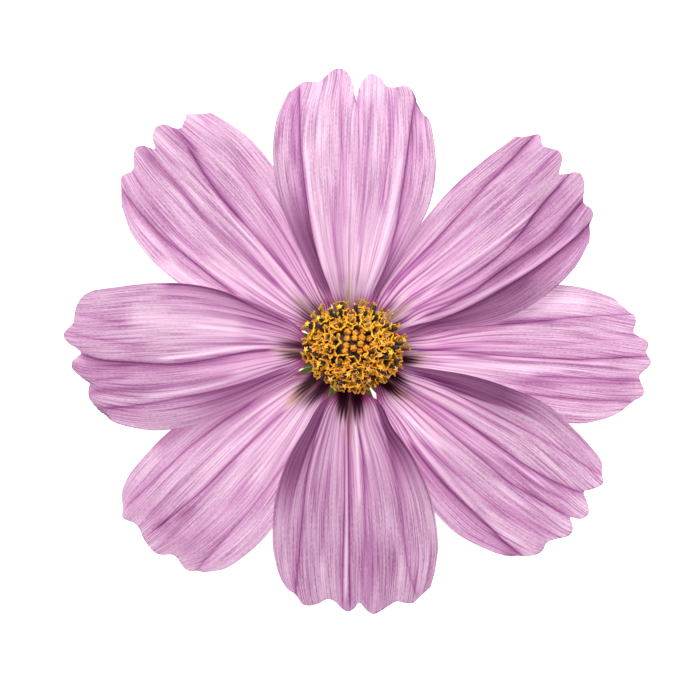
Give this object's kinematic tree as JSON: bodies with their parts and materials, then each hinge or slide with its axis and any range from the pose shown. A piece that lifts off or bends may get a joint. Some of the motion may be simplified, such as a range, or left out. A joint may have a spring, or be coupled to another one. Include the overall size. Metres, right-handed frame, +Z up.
{
  "type": "cosmos flower",
  "caption": "Open cosmos flower head with broad pleated, notched petals in overlapping layers around a raised disc of small florets, with a green bracted calyx beneath.",
  "frame": {"origin": "centre of the bottom of the head's bounding box, on the surface it lies on", "axes": "+Z up out of the face of the flower, +Y towards the notched petal numbered 1, +X towards petal 3"},
  "size_m": [0.0777, 0.0733, 0.0123],
  "materials": {
    "petal": "soft translucent pink petal, finely veined",
    "floret": "matte golden yellow florets with dark anthers",
    "calyx": "matte green",
    "bract": "papery tan"
  },
  "bodies": {
    "root": {"petal_1": "petal", "petal_2": "petal", "petal_3": "petal", "petal_4": "petal", "petal_5": "petal", "petal_6": "petal", "petal_7": "petal", "petal_8": "petal", "disc_florets": "floret", "receptacle": "calyx", "inner_bracts": "bract"}
  },
  "joints": []
}
